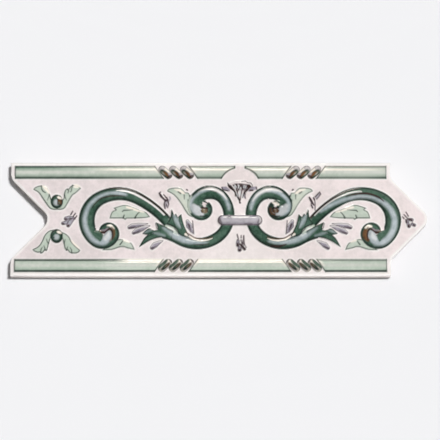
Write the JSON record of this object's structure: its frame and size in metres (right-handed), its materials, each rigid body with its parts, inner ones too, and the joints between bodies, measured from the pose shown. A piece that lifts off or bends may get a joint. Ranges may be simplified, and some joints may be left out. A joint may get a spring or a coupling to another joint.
{
  "type": "border tile",
  "caption": "Glazed relief border tile with a notched end and a matching pointed end, bound rails along its long edges and leafy scrolls between them, bedded on a flat grooved back.",
  "frame": {"origin": "middle of the tile's bounding box, on the plane of its back face", "axes": "+X along the border from the notched end to the pointed end, +Y up the wall towards the rail with the arched clearing, +Z out of the glazed face"},
  "size_m": [0.2192, 0.06, 0.0114],
  "materials": {
    "glaze": "gloss glaze, painted under the glaze"
  },
  "bodies": {
    "root": {"border_tile": "glaze"}
  },
  "joints": []
}
